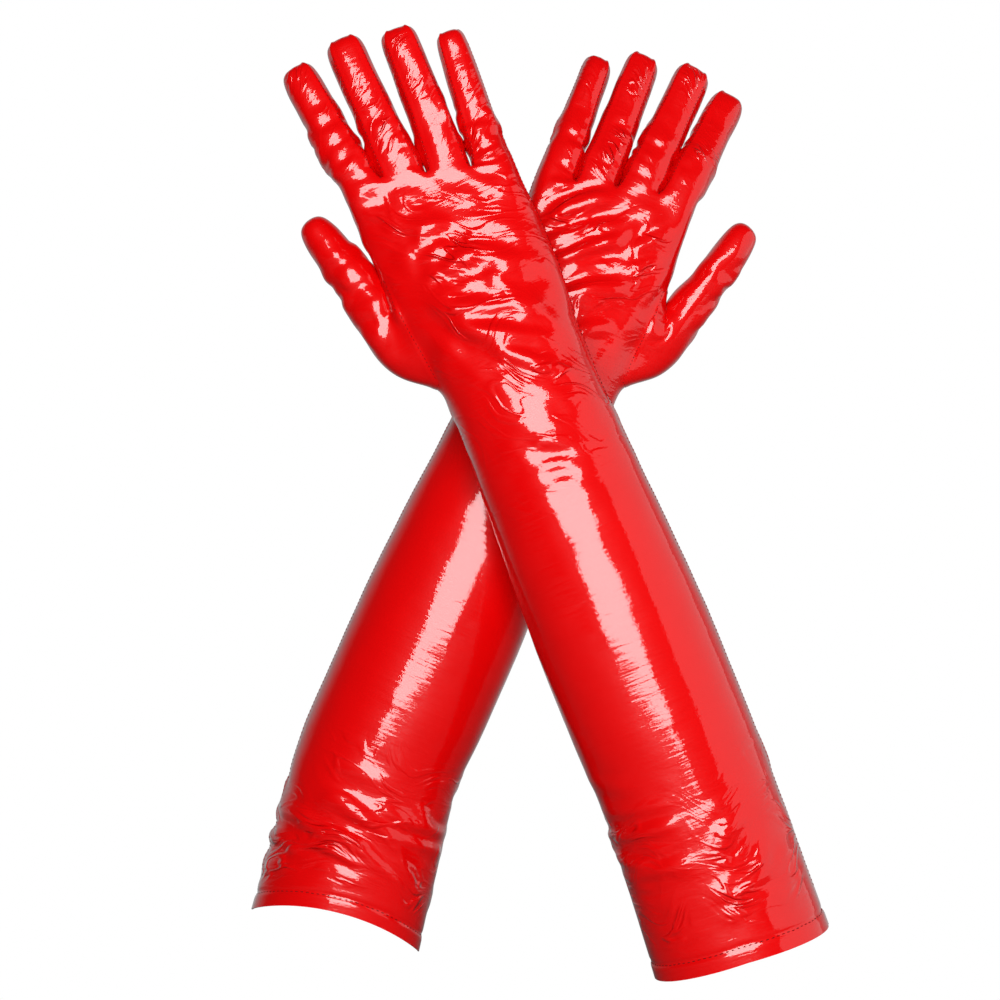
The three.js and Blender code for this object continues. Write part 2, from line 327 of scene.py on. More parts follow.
def glove_cage(side):
    """The cage, and the lines of its seams as (piece, points)."""
    bm = bmesh.new()
    lines = []
    piece_of = bm.faces.layers.int.new("piece")
    seam_of = bm.verts.layers.float.new("seam")

    def colour(faces, name):
        for face in faces:
            face[piece_of] = PIECES.index(name)

    heights = row_heights()
    ring = bmesh.ops.create_circle(bm, segments=AROUND, radius=1)["verts"]
    for vert, point in zip(ring, section(heights[0])):
        vert.co = point
    rings = [ring]
    for z in heights[1:]:
        rings.append(extrude_loop(bm, rings[-1], section(z)))
    rings.append(extrude_loop(bm, rings[-1], web_line(section(heights[-1]))))
    colour(bm.faces, "hand")
    for face in bm.faces:
        middle = face.calc_center_median().z
        if middle < CUFF_TOP:
            face[piece_of] = PIECES.index("cuff")
        elif middle < SLEEVE_TOP:
            face[piece_of] = PIECES.index("sleeve")

    # the crotch between two fingers dips below the line of their roots
    top = rings[-1]
    crotches = []
    for web in WEBS[1:-1]:
        crotches.append(bm.verts.new((web, 0, ROOTS_AT + web * ROOT_SLANT - 7)))
    sides = [top[0], *crotches, top[LITTLE_EDGE]]
    for k, name in enumerate(FINGERS):
        back = [top[1 + 2 * k + j] for j in range(3)]
        palm = [top[AROUND - 1 - 2 * k - j] for j in range(3)]
        loop = [sides[k], *back, sides[k + 1], *reversed(palm)]
        seams = {"index": (3, 5), "middle": (1, 3, 5, 7), "ring": (1, 3, 5, 7), "little": (1, 7)}[name]
        if name == "little":
            seams = (*seams, 4)  # the side seam runs on to its tip
        before = set(bm.faces)
        loops = [loop]
        for points in finger_rings(side, name):
            loops.append(extrude_loop(bm, loops[-1], points))
        for corner in seams:
            for row in loops:
                row[corner][seam_of] = 1
            lines.append((name, [row[corner].co.copy() for row in loops[:-1]]))
        bm.faces.new(loops[-1])
        colour(set(bm.faces) - before, name)

    # the thumb's hole takes the two columns on the hand's thumb edge
    first = len(heights) - THUMB_DOWN
    rows = rings[first : first + THUMB_ROWS + 1]
    hole = {f for row in rows for f in row[0].link_faces}
    hole = [f for f in hole if all(any(v in row for row in rows) for v in f.verts)]
    bmesh.ops.delete(bm, geom=hole, context="FACES")
    foot, *between, head = rows
    loop = [foot[1], foot[0], foot[-1]] + [row[-1] for row in between]
    loop += [head[-1], head[0], head[1]] + [row[1] for row in reversed(between)]
    for vert in loop:
        vert[seam_of] = 1
    lines.append(("thumb", [vert.co.copy() for vert in loop + loop[:1]]))
    for row in rings:
        row[LITTLE_EDGE][seam_of] = 1  # the side seam, along the little finger's edge
    stops = (SEAM_START, CUFF_ROWS, CUFF_ROWS + SLEEVE_ROWS, len(rings) - 1)
    for low, high, name in zip(stops, stops[1:], ("cuff", "sleeve", "hand")):
        lines.append((name, [row[LITTLE_EDGE].co.copy() for row in rings[low : high + 1]]))
    before = set(bm.faces)
    for points in thumb_rings(side):
        loop = extrude_loop(bm, loop, points)
    bm.faces.new(loop)
    colour(set(bm.faces) - before, "thumb")
    bmesh.ops.delete(bm, geom=[e for e in bm.edges if not e.link_faces], context="EDGES")
    bmesh.ops.recalc_face_normals(bm, faces=bm.faces)
    return bm, lines


cages, seam_lines = {}, {}
for side in SIDES:
    cages[side], seam_lines[side] = glove_cage(side)
    print(side, "cage faces:", len(cages[side].faces), "seams:", len(seam_lines[side]))

# %% [markdown]
# ## Smoothing
# A Subdivision Surface modifier turns the cage into a fine skin. It is applied at once, because the creases that
# come next are moves of the fine mesh's own points.

# %% Subdivide
LEVELS = 2


def subdivided(name, mesh, levels):
    piece = add_object(name, mesh)
    smoothing = piece.modifiers.new("smooth", "SUBSURF")
    smoothing.levels = smoothing.render_levels = levels
    smoothing.quality = 4
    result = bpy.data.meshes.new_from_object(piece.evaluated_get(bpy.context.evaluated_depsgraph_get()))
    bpy.data.objects.remove(piece)
    return result


skins = {}
for side, bm in cages.items():
    cage = mesh_from(bm, side + "_cage")
    skins[side] = subdivided(side + "_skin", cage, LEVELS)


def points_of(mesh):
    co = np.empty(len(mesh.vertices) * 3)
    mesh.vertices.foreach_get("co", co)
    return co.reshape(-1, 3)


def normals_of(mesh):
    no = np.empty(len(mesh.vertices) * 3, np.float32)
    mesh.vertices.foreach_get("normal", no)
    return no.reshape(-1, 3).astype(float)


def put_points(mesh, co):
    mesh.vertices.foreach_set("co", np.ascontiguousarray(co, dtype=np.float32).ravel())
    mesh.update()


print("skin points:", {side: len(mesh.vertices) for side, mesh in skins.items()})

# %% [markdown]
# ## Irregularity
# Nothing on a worn glove is even, so the slack in the cloth and the places where it starts to crease follow a
# smooth noise. The noise is a lattice of seeded random values, so it is the same on every run.

# %% Noise
LATTICE_SIZE = 32
LATTICE = np.random.default_rng(7).random((LATTICE_SIZE,) * 3) * 2 - 1


def value_noise(p):
    """Smooth noise from -1 to 1 at an array of points, one unit to a bump."""
    base = np.floor(p).astype(int)
    f = p - base
    f = f * f * f * (f * (6 * f - 15) + 10)
    total = 0
    for dx in (0, 1):
        for dy in (0, 1):
            for dz in (0, 1):
                share = np.where(dx, f[:, 0], 1 - f[:, 0]) * np.where(dy, f[:, 1], 1 - f[:, 1])
                share = share * np.where(dz, f[:, 2], 1 - f[:, 2])
                x, y, z = ((base + [dx, dy, dz]) % LATTICE_SIZE).T
                total = total + share * LATTICE[x, y, z]
    return total


# %% [markdown]
# ## Where the cloth is too long
# The folds that one notices first are given one by one, each as a line on the back of the glove along which the
# cloth has length to spare. The two hands and the two elbows bend differently, so each glove has its own list, and
# a second step turns the lines of one area together.

# %% Fold lines
# from (x, z) to (x, z), sideways bow, share of extra length, half width
FOLD_LINES = {
    "right": [
        ((37, 398), (22, 386), 2, 0.10, 4.0),
        ((25, 385), (0, 378), -2, 0.13, 4.0),
        ((2, 376), (19, 353), 3, 0.11, 4.5),
        ((14, 362), (-5, 369), 2, 0.10, 4.0),
        ((22, 350), (-8, 360), 4, 0.12, 5.0),
        ((26, 341), (-14, 331), -3, 0.13, 4.0),
        ((10, 345), (-18, 336), 3, 0.08, 4.0),
        ((26, 335), (-24, 314), -3, 0.13, 3.0),
        ((24, 328), (-28, 309), -3, 0.11, 2.8),
        ((17, 325), (-18, 299), -3, 0.13, 3.0),
        ((8, 314), (-14, 296), -2, 0.11, 2.8),
        ((4, 306), (-8, 291), -3, 0.11, 3.0),
        ((-4, 300), (-26, 284), 2, 0.09, 3.0),
        ((-2, 387), (-30, 373), 3, 0.06, 5.0),
        ((-6, 372), (-34, 356), 3, 0.06, 5.0),
        ((-10, 352), (-34, 336), 3, 0.06, 5.0),
        ((38, 312), (14, 302), 2, 0.07, 4.0),
        ((5, 263), (-8, 257), 2, 0.06, 4.0),
        ((7, 251), (-9, 246), 2, 0.06, 4.0),
        ((9, 240), (-11, 235), 2, 0.06, 4.0),
        ((9, 228), (-9, 225), 2, 0.05, 4.0),
        ((44, 104), (26, 96), -2, 0.08, 3.5),
        ((42, 84), (12, 81), 0, 0.08, 3.5),
        ((43, 72), (12, 71), -1, 0.09, 3.5),
        ((44, 62), (30, 56), -2, 0.11, 3.5),
        ((43, 51), (6, 48), 2, 0.11, 4.5),
        ((40, 36), (20, 30), 2, 0.05, 5.0),
        ((-2, 47), (-18, 63), 2, 0.14, 3.0),
        ((-4, 54), (-14, 63), 2, 0.08, 2.8),
        ((2, 39), (-6, 31), -3, 0.14, 3.0),
        ((-6, 31), (-26, 50), -5, 0.15, 3.2),
        ((-7, 30), (0, 19), 1, 0.11, 3.0),
        ((-6, 72), (-20, 66), 2, 0.06, 3.0),
        ((-36, 62), (-42, 44), 2, 0.10, 3.0),
        ((-32, 46), (-40, 24), 2, 0.08, 3.5),
    ],
    "left": [
        ((-30, 392), (-18, 402), 1, 0.10, 3.0),
        ((-30, 382), (0, 395), 2, 0.12, 3.0),
        ((-31, 373), (6, 391), 3, 0.14, 3.2),
        ((-26, 364), (10, 382), 3, 0.14, 3.4),
        ((-24, 356), (18, 373), 3, 0.13, 3.6),
        ((-20, 346), (18, 363), 3, 0.14, 4.0),
        ((-16, 338), (26, 350), 3, 0.13, 4.0),
        ((-12, 329), (16, 339), 2, 0.10, 4.0),
        ((-4, 321), (24, 326), 2, 0.07, 4.0),
        ((14, 378), (38, 392), 2, 0.07, 4.0),
        ((18, 366), (40, 378), 2, 0.07, 4.0),
        ((0, 311), (28, 318), 2, 0.06, 4.5),
        ((24, 352), (38, 372), -3, 0.07, 3.0),
        ((-22, 80), (10, 72), 2, 0.09, 3.0),
        ((-20, 66), (2, 57), 2, 0.13, 2.8),
        ((-22, 60), (2, 50), 5, 0.13, 2.8),
        ((-44, 52), (-24, 43), 2, 0.18, 4.0),
        ((-24, 43), (6, 52), -3, 0.08, 3.0),
        ((-20, 48), (10, 32), 4, 0.14, 2.8),
        ((-20, 43), (14, 26), 4, 0.13, 2.8),
        ((-19, 37), (2, 26), 3, 0.14, 3.0),
        ((-44, 36), (-30, 32), 2, 0.13, 4.0),
        ((-44, 20), (-28, 18), 2, 0.09, 4.0),
        ((2, 66), (38, 50), 3, 0.11, 4.0),
        ((0, 62), (22, 33), 5, 0.11, 3.5),
        ((28, 70), (41, 54), -2, 0.14, 3.0),
        ((26, 51), (42, 44), 1, 0.14, 3.0),
        ((24, 40), (38, 14), 2, 0.13, 3.2),
        ((16, 36), (30, 14), 2, 0.09, 3.0),
        ((-16, 22), (10, 15), 2, 0.05, 3.0),
    ],
}
# the folds over the hand and the wrist all lean with the cloth's pull, and so do the falling ones of the left cuff
HAND_FOLDS_FROM = {"left": 300, "right": 285}  # heights
HAND_LEAN = {"left": 18, "right": 9}  # degrees
CUFF_FOLDS_TO = 110
CUFF_LEAN = 11


def lean_of(side, run, height):
    """How far a fold is turned about its middle, in degrees."""
    if height > HAND_FOLDS_FROM[side]:
        return HAND_LEAN[side]
    falling = run[0] * run[1] < 0
    return CUFF_LEAN if side == "left" and height < CUFF_FOLDS_TO and falling else 0


def leaned(side, fold):
    """The fold with its line turned about its middle, to the nearest millimetre."""
    (x0, z0), (x1, z1), *rest = fold
    x_middle, z_middle = (x0 + x1) / 2, (z0 + z1) / 2
    angle = math.radians(lean_of(side, (x1 - x0, z1 - z0), z_middle))
    c, s = math.cos(angle), math.sin(angle)
    ends = []
    for x, z in ((x0, z0), (x1, z1)):
        dx, dz = x - x_middle, z - z_middle
        ends.append((round(x_middle + dx * c - dz * s), round(z_middle + dx * s + dz * c)))
    return (*ends, *rest)


FOLDS = {side: [leaned(side, fold) for fold in lines] for side, lines in FOLD_LINES.items()}
print("folds:", {side: len(folds) for side, folds in FOLDS.items()})


def fold_slack(p, fold):
    """The extra length along one fold line at each point, and the way across the line."""
    (x0, z0), (x1, z1), bow, share, half = fold
    start, run = np.array([x0, z0]), np.array([x1 - x0, z1 - z0], float)
    length = math.hypot(*run)
    run /= length
    across = np.array([-run[1], run[0]])
    across *= math.copysign(1, across[1])
    d = p[:, [0, 2]] - start
    t = (d @ run) / length
    off = d @ across - bow * 4 * t * (1 - t)
    ends = smoothstep(-0.15, 0.25, t) * smoothstep(1.15, 0.75, t)
    return share * ends * np.exp(-((off / half) ** 2)), np.array([across[0], 0, across[1]])


# %% [markdown]
# ## How the cloth buckles
# A glove this long is pushed together at the elbow, at the wrist and behind the knuckles, so there is more cloth
# than arm. Each edge of the mesh is told how long it really is, and all the points are then moved, a little at a
# time, until the edges have their length again. The arm inside lets the cloth move only outwards, so it rises in
# ridges with flat valleys between them, as coated fabric does. First comes the slack: how much too long the cloth
# is at each point, and in which way. Cloth simulated by Blender itself can't have its slack in one way only.

# %% Slack
ELBOW_WAY = {"left": (0.18, 0, 0.98), "right": (-0.12, 0, 1)}  # across the small folds at the elbow
HAND_WAY = {"left": (-0.7, 0, 0.71), "right": (-0.56, 0, 0.83)}  # and over the wrist and the hand
DIGITS = (*FINGERS, "thumb")


def unit(way):
    way = np.array(way, float)
    return way / np.linalg.norm(way)


def digit_frame(side, name):
    return thumb_frame(side) if name == "thumb" else finger_frame(side, name)


def local_points(matrix, p):
    m = np.array(matrix.inverted())
    return p @ m[:3, :3].T + m[:3, 3]


def patchy(p, size, seed):
    """Noise from 0 to about 1, with smooth areas where it is 0."""
    return np.clip(value_noise(p / size + seed) * 1.8 + 0.15, 0, 1)


def slack(side, p, piece):
    """The way in which each point's cloth is too long, as a vector whose length is the share of it."""
    seed = 2.6 if side == "left" else 7.9
    z = p[:, 2]
    back = smoothstep(4, -4, p[:, 1])
    elbow = smoothstep(13, 24, z) * smoothstep(100, 76, z)
    wrist = smoothstep(215, 275, z) * smoothstep(345, 315, z)
    hand = smoothstep(305, 335, z)
    few = 1 - 0.7 * back  # the back has its own folds
    some = patchy(p * [1, 1, 1.6], 26, seed)
    field = np.outer(0.16 * elbow * some * few, unit(ELBOW_WAY[side]))
    field += np.outer((0.12 * wrist + 0.1 * hand) * some * few, unit(HAND_WAY[side]))
    fullness = 1 + 0.7 * hand if side == "left" else 1
    for fold in FOLDS[side]:
        share, way = fold_slack(p, fold)
        field += np.outer(share * back * fullness, way)
    for k, name in enumerate(DIGITS):
        mine = piece == PIECES.index(name)
        place = digit_frame(side, name)
        local = local_points(place, p[mine])
        h = local[:, 2]
        if name == "thumb":
            share = 0.12 * smoothstep(8, 24, h) * smoothstep(86, 62, h) * patchy(local, 9, seed)
            field[mine] = np.outer(share, place.to_3x3() @ Vector(unit((-0.5, 0, 1))))
            continue
        knuckle = smoothstep(0, 7, h) * smoothstep(44, 28, h)
        share = 0.18 * knuckle * patchy(local * [0.7, 0.8, 1.5], 9, seed + 3 * k)
        field[mine] = np.outer(share, place.to_3x3() @ Vector(unit((0.15, 0, 1))))
        shaft = smoothstep(30, 45, h) * patchy(local, 16, seed + 5 * k)
        field[mine] += np.outer(0.06 * shaft, place.to_3x3() @ Vector(unit((0.8, 0, 0.6))))
    return field


# %% [markdown]
# ## Coming to rest
# Each round of this loop pulls every edge towards its true length, smooths the result by the cloth's stiffness,
# and puts back what would sink into the arm.

# %% Buckling
STIFFNESS = 0.14  # of the cloth against bending: stiffer cloth makes wider folds
DENT = -0.25  # how far the arm gives way, in mm


def edges_of(mesh):
    """The mesh's edges, and both diagonals of each of its quads, as pairs of points."""
    edges = np.empty(len(mesh.edges) * 2, np.int32)
    mesh.edges.foreach_get("vertices", edges)
    corners = np.empty(len(mesh.loops), np.int32)
    mesh.loops.foreach_get("vertex_index", corners)
    quads = corners.reshape(-1, 4)
    return edges.reshape(-1, 2), np.concatenate([quads[:, [0, 2]], quads[:, [1, 3]]])


def gathered(first, second, values, count):
    """Sum at each point what its edges give to their first ends and take from their second ends."""
    return np.stack([np.bincount(first, v, count) - np.bincount(second, v, count) for v in values.T], 1)


def buckled(p, n, edges, diagonals, field, start, held, tallest, rounds):
    """Where the points come to rest. held is 1 where the cloth is sewn or pinned, and tallest caps the ridges."""
    count = len(p)
    i, j = np.concatenate([edges, diagonals]).T
    d = p[j] - p[i]
    way = (field[i] + field[j]) / 2
    share = np.linalg.norm(way, axis=1) + 1e-9
    rest = np.sqrt((d * d).sum(1) + (2 / share + 1) * (d * way).sum(1) ** 2)
    valence = (np.bincount(i, minlength=count) + np.bincount(j, minlength=count))[:, None]
    a, b = edges.T
    near = (np.bincount(a, minlength=count) + np.bincount(b, minlength=count))[:, None]

    def curl_of(values):
        step = values[b] - values[a]
        return gathered(a, b, step, count) / near

    free = (1 - held)[:, None]
    off = n * (start * (1 - held))[:, None]
    speed = np.zeros_like(p)
    for _ in range(rounds):
        d = (p[j] + off[j]) - (p[i] + off[i])
        length = np.sqrt((d * d).sum(1))
        pull = d * (0.5 * (1 - rest / length))[:, None]
        speed = 0.8 * speed + gathered(i, j, pull, count) / valence * 1.2
        off = off + speed * free
        off = off - STIFFNESS * curl_of(curl_of(off)) * free
        height = (off * n).sum(1)
        off = off + n * (np.clip(height, DENT, tallest) - height)[:, None]
    return p + off


# %% [markdown]
# ## Creasing both gloves
# The coarse skin buckles first and gives the broad folds. It is then subdivided once more and buckles again, for
# the sharp ones. Creases too fine for the mesh are left to the material, which is told where they lie and which
# way they run. Last come the raised seams and the groove of the hem.

# %% Crease the skins
HEM_HEIGHT = 8
MID_FOREARM = 160  # fine creases run as at the elbow below it, and as on the hand above it


def attribute_of(mesh, name):
    values = np.empty(len(mesh.vertices), np.float32)
    mesh.attributes[name].data.foreach_get("value", values)
    return values.astype(float)


def pieces_of(mesh):
    """The highest number, in PIECES, of the pieces that meet at each point."""
    faces = np.empty(len(mesh.polygons), np.int32)
    mesh.attributes["piece"].data.foreach_get("value", faces)
    corners = np.empty(len(mesh.loops), np.int32)
    mesh.loops.foreach_get("vertex_index", corners)
    sizes = np.empty(len(mesh.polygons), np.int32)
    mesh.polygons.foreach_get("loop_total", sizes)
    points = np.zeros(len(mesh.vertices), np.int32)
    np.maximum.at(points, corners, np.repeat(faces, sizes))
    return points


def past_roots(p):
    """How far each point lies past the slanting line of the finger roots."""
    return p[:, 2] - p[:, 0] * ROOT_SLANT - ROOTS_AT


def loosened(side, mesh):
    """Let the cloth stand off unevenly, most on the back of the hand."""
    p = points_of(mesh)
    seed = 1.7 if side == "left" else 6.1
    hand = smoothstep(300, 325, p[:, 2]) * smoothstep(4, -6, p[:, 1])
    digit = smoothstep(-14, 6, past_roots(p))
    arm = 0.12 + 0.25 * smoothstep(190, 260, p[:, 2])
    height = arm + (0.9 if side == "right" else 0.4) * hand
    height += (0.35 - height) * digit
    bumps = value_noise(p / [15, 30, 21] + seed) + 0.5 * value_noise(p / [9, 20, 12] + seed + 4)
    put_points(mesh, p + normals_of(mesh) * (height * bumps)[:, None])


def settle(side, mesh, share, rounds):
    """Let the skin buckle with this share of its slack."""
    p = points_of(mesh)
    piece = pieces_of(mesh)
    edges, diagonals = edges_of(mesh)
    field = slack(side, p, piece) * share
    start = 0.1 * value_noise(p / 5 + 3) + 6 * np.linalg.norm(field, axis=1)
    held = smoothstep(HEM_HEIGHT + 3, HEM_HEIGHT, p[:, 2])
    tallest = 3.5 - 2.5 * smoothstep(-10, 10, past_roots(p))
    tallest = np.where(piece == PIECES.index("thumb"), 1.0, tallest) * share
    put_points(mesh, buckled(p, normals_of(mesh), edges, diagonals, field, start, held, tallest, rounds))


def creasing(side, mesh):
    """Store, for the material, where fine creases lie (creases) and which way they run (grain)."""
    p = points_of(mesh)
    piece = pieces_of(mesh)
    field = slack(side, p, piece)
    share = np.linalg.norm(field, axis=1)
    seed = 3.3 if side == "left" else 9.4
    z = p[:, 2]
    elbow = smoothstep(12, 20, z) * smoothstep(104, 80, z)
    wrist = smoothstep(225, 290, z) * smoothstep(400, 385, z)
    crease = np.clip(share * 5, 0, 0.8) + 0.4 * np.maximum(elbow, 0.7 * wrist)
    digit = piece >= PIECES.index("index")
    on_digit = np.where(piece == PIECES.index("thumb"), 0.6, 0.35) + share * 4
    crease = np.where(digit, on_digit, crease) * (0.15 + 0.85 * patchy(p, 16, seed))
    crease *= smoothstep(0.95, 0.4, attribute_of(mesh, "seam"))
    crease *= smoothstep(0.5, 6, np.abs(past_roots(p)))  # the grain turns there
    layer = mesh.attributes.new("creases", "FLOAT", "POINT")
    layer.data.foreach_set("value", np.clip(crease, 0, 1).astype(np.float32))
    grain = np.empty_like(p)
    areas = {"elbow": z < MID_FOREARM, "hand": (z >= MID_FOREARM) & ~digit}
    areas |= {name: piece == PIECES.index(name) for name in DIGITS}
    for name, chosen in areas.items():
        own, way = p[chosen], HAND_WAY[side]
        if name == "elbow":
            way = ELBOW_WAY[side]
        elif name in DIGITS:
            own, way = local_points(digit_frame(side, name), own) * [1.6, 1.6, 1.6], (0.4, 0, 1)
        way = unit(way)
        over = own @ way
        along = own @ np.array([way[2], 0, -way[0]])
        sway = value_noise(own / 22 + seed) * 1.4
        grain[chosen] = np.stack([along / 24, over / 7.5 + sway, own[:, 1] / 24], 1) + seed
    layer = mesh.attributes.new("grain", "FLOAT_VECTOR", "POINT")
    layer.data.foreach_set("vector", grain.astype(np.float32).ravel())


def sew(side, mesh):
    """Raise the seams, and press in the groove of the hem."""
    p = points_of(mesh)
    n = normals_of(mesh)
    piece = pieces_of(mesh)
    seam = attribute_of(mesh, "seam")
    digit = piece >= PIECES.index("index")
    cell = np.where(digit, 6.5, 12.0)  # mm over which the seam value falls from 1 to 0
    height = np.where(digit, 0.6, 0.4)
    out = height * np.exp(-(((1 - seam) * cell / 1.1) ** 2))
    # the hem: a doubled edge that stands off a little, under a groove where it is stitched
    arm = piece <= PIECES.index("sleeve")
    z = p[:, 2]
    out += np.where(arm, 0.45 * smoothstep(HEM_HEIGHT + 0.6, HEM_HEIGHT - 1.2, z), 0)
    out -= np.where(arm, 0.55 * np.exp(-(((z - HEM_HEIGHT) / 1.1) ** 2)), 0)
    put_points(mesh, p + n * out[:, None])


for side in SIDES:
    mesh = skins[side]
    p = points_of(mesh)
    layer = mesh.attributes.new("cloth", "FLOAT_VECTOR", "POINT")
    layer.data.foreach_set("vector", (p * MM).astype(np.float32).ravel())
    creasing(side, mesh)
    loosened(side, mesh)
    settle(side, mesh, 0.45, 140)
    skins[side] = subdivided(side + "_fine_skin", mesh, 1)
    settle(side, skins[side], 0.75, 200)
    sew(side, skins[side])
    print(side, "creased,", len(skins[side].vertices), "points")

# %% [markdown]
# ## Bending the glove into its pose
# The glove was made straight. Here it is bent at the wrist and at the elbow, a little at each height so that no
# corner shows, then leaned over, mirrored for the right hand, and put in its place in metres.

# %% Pose
BEND_REACH = 34  # how far a bend is spread above and below its joint


def turned(p, angle, at):
    """Points turned about the Y axis through height at, each by its own angle in radians."""
    c, s = np.cos(angle), np.sin(angle)
    x, z = p[:, 0], p[:, 2] - at
    return np.stack([x * c + z * s, p[:, 1], -x * s + z * c + at], 1)


def pulled_rim(side, p):
    """The rim isn't square to the arm: this pulls it up or down by a few millimetres."""
    back, little = -2 * p[:, 1] / GLOVE_DEPTHS[0], -2 * p[:, 0] / GLOVE_WIDTHS[0]
    if side == "left":
        pull = 8.5 * np.clip(back, 0, 1) - 7.5 * little**2
    else:
        pull = -2.5 - 2.5 * np.clip(little, 0, 1)
    p[:, 2] += pull * smoothstep(60, 0, p[:, 2])
    return p


def bent_forward(side, p):
    """The left hand leans to the front from the wrist on, most at the index, so it looks shorter."""
    if side == "left":
        shorter = (5.2 + 0.11 * np.clip(p[:, 0], -50, 40)) * smoothstep(300, 400, p[:, 2])
        p[:, 2] -= shorter * smoothstep(64, 50, p[:, 0])
    return p


def worn_points(side, p):
    worn = WORN[side]
    p = bent_forward(side, pulled_rim(side, np.array(p, float)))
    z = p[:, 2]
    at_wrist = smoothstep(WRIST_AT - BEND_REACH, WRIST_AT + BEND_REACH, z)
    at_elbow = smoothstep(ELBOW_AT - BEND_REACH, ELBOW_AT + BEND_REACH, z)
    p = turned(p, math.radians(worn["wrist"]) * at_wrist, WRIST_AT)
    p = turned(p, math.radians(worn["elbow"]) * at_elbow, ELBOW_AT)
    p = turned(p, np.full(len(p), math.radians(worn["lean"])), 0)
    p[:, 0] *= worn["mirror"]
    return (p + worn["place"]) * MM


def worn_point(side, x, y, z):
    return Vector(worn_points(side, np.array([[x, y, z]], float))[0])


for side, mesh in skins.items():
    put_points(mesh, worn_points(side, points_of(mesh)))
    if WORN[side]["mirror"] < 0:
        mesh.flip_normals()

# %% [markdown]
# ## Patent vinyl
# The finish is a pigmented film under a clear, very smooth top coat. It is never quite flat: the knit behind it
# and the stretch round the arm leave ripples much finer than the folds. They follow the cloth by the "cloth"
# attribute, which holds where each point was before the vinyl creased. The finest creases follow "creases" and
# "grain" in the same way.

# %% Materials


def new_material(name):
    material = bpy.data.materials.new(name)
    material.use_nodes = True
    nodes, links = material.node_tree.nodes, material.node_tree.links
    return material, nodes, links, nodes["Principled BSDF"]


def set_inputs(node, values):
    for name, value in values.items():
        node.inputs[name].default_value = value


def noise_node(nodes, links, vector, scale, detail=2.0, distortion=0.0):
    stretch = nodes.new("ShaderNodeMapping")
    stretch.inputs["Scale"].default_value = scale
    links.new(vector, stretch.inputs["Vector"])
    noise = nodes.new("ShaderNodeTexNoise")
    set_inputs(noise, {"Scale": 1.0, "Detail": detail, "Distortion": distortion})
    links.new(stretch.outputs["Vector"], noise.inputs["Vector"])
    return noise.outputs["Fac"]


def sums(nodes, links, operation, first, second=None):
    node = nodes.new("ShaderNodeMath")
    node.operation = operation
    links.new(first, node.inputs[0])
    if second is not None:
        node.inputs[1].default_value = second
    return node.outputs["Value"]


def patent_vinyl(name, red):
    material, nodes, links, skin = new_material(name)
    cloth = nodes.new("ShaderNodeAttribute")
    cloth.attribute_name = "cloth"
    where = cloth.outputs["Vector"]
    values = {
        "Roughness": 0.35,
        "IOR": 1.5,
        "Specular IOR Level": 0.08,
        "Coat Weight": 1.0,
        "Coat Roughness": 0.03,
        "Coat IOR": 1.5,
    }
    set_inputs(skin, values)

    shade = nodes.new("ShaderNodeMix")
    shade.data_type = "RGBA"
    set_inputs(shade, {"A": (*red, 1), "B": (red[0] * 0.93, red[1], red[2], 1)})
    links.new(noise_node(nodes, links, where, (60, 60, 60)), shade.inputs["Factor"])
    links.new(shade.outputs["Result"], skin.inputs["Base Color"])

    ripples = nodes.new("ShaderNodeBump")
    set_inputs(ripples, {"Strength": 0.35, "Distance": 0.0004})
    links.new(noise_node(nodes, links, where, (45, 45, 420), 3.0, 0.4), ripples.inputs["Height"])
    peel = nodes.new("ShaderNodeBump")
    set_inputs(peel, {"Strength": 0.12, "Distance": 0.0003})
    links.new(noise_node(nodes, links, where, (700, 700, 700)), peel.inputs["Height"])
    crease = nodes.new("ShaderNodeBump")
    crease.inputs["Distance"].default_value = 0.001
    crease_here = nodes.new("ShaderNodeAttribute")
    crease_here.attribute_name = "creases"
    links.new(crease_here.outputs["Fac"], crease.inputs["Strength"])
    grain = nodes.new("ShaderNodeAttribute")
    grain.attribute_name = "grain"
    folded = noise_node(nodes, links, grain.outputs["Vector"], (1, 1, 1), 1.0, 0.6)
    from_half = sums(nodes, links, "SUBTRACT", folded, 0.5)
    distance = sums(nodes, links, "ABSOLUTE", from_half)
    ridge = nodes.new("ShaderNodeMapRange")
    ridge.interpolation_type = "SMOOTHERSTEP"
    set_inputs(ridge, {"From Min": 0.11, "From Max": 0.0})
    links.new(distance, ridge.inputs["Value"])
    links.new(ridge.outputs["Result"], crease.inputs["Height"])
    links.new(ripples.outputs["Normal"], crease.inputs["Normal"])
    links.new(crease.outputs["Normal"], peel.inputs["Normal"])
    links.new(peel.outputs["Normal"], skin.inputs["Normal"])
    links.new(peel.outputs["Normal"], skin.inputs["Coat Normal"])
    return material


def knit(name, red):
    material, nodes, links, skin = new_material(name)
    place = nodes.new("ShaderNodeTexCoord")
    set_inputs(skin, {"Base Color": (*red, 1), "Roughness": 0.9, "Specular IOR Level": 0.2})
    bump = nodes.new("ShaderNodeBump")
    set_inputs(bump, {"Strength": 0.6, "Distance": 0.0003})
    links.new(noise_node(nodes, links, place.outputs["Object"], (1800, 1800, 900)), bump.inputs["Height"])
    links.new(bump.outputs["Normal"], skin.inputs["Normal"])
    return material


vinyl = patent_vinyl("patent_vinyl", (0.74, 0.0004, 0.0009))
backing = knit("knit_backing", (0.42, 0.01, 0.012))
# the thread is dark red, and its colour is darker still as painted shade of the groove it lies sunk in
thread = knit("thread", (0.2, 0.001, 0.0015))

# %% [markdown]
# ## Parting the skin at the joints
# Each moving piece of a glove is an object of its own. Its edge points are the same as its neighbour's, and the
# shading normals are taken from the whole skin first, so no line shows where two pieces meet. A Solidify modifier
# then gives each piece the thickness of the coated fabric, inwards.

# %% Pieces
WALL = 0.7 * MM


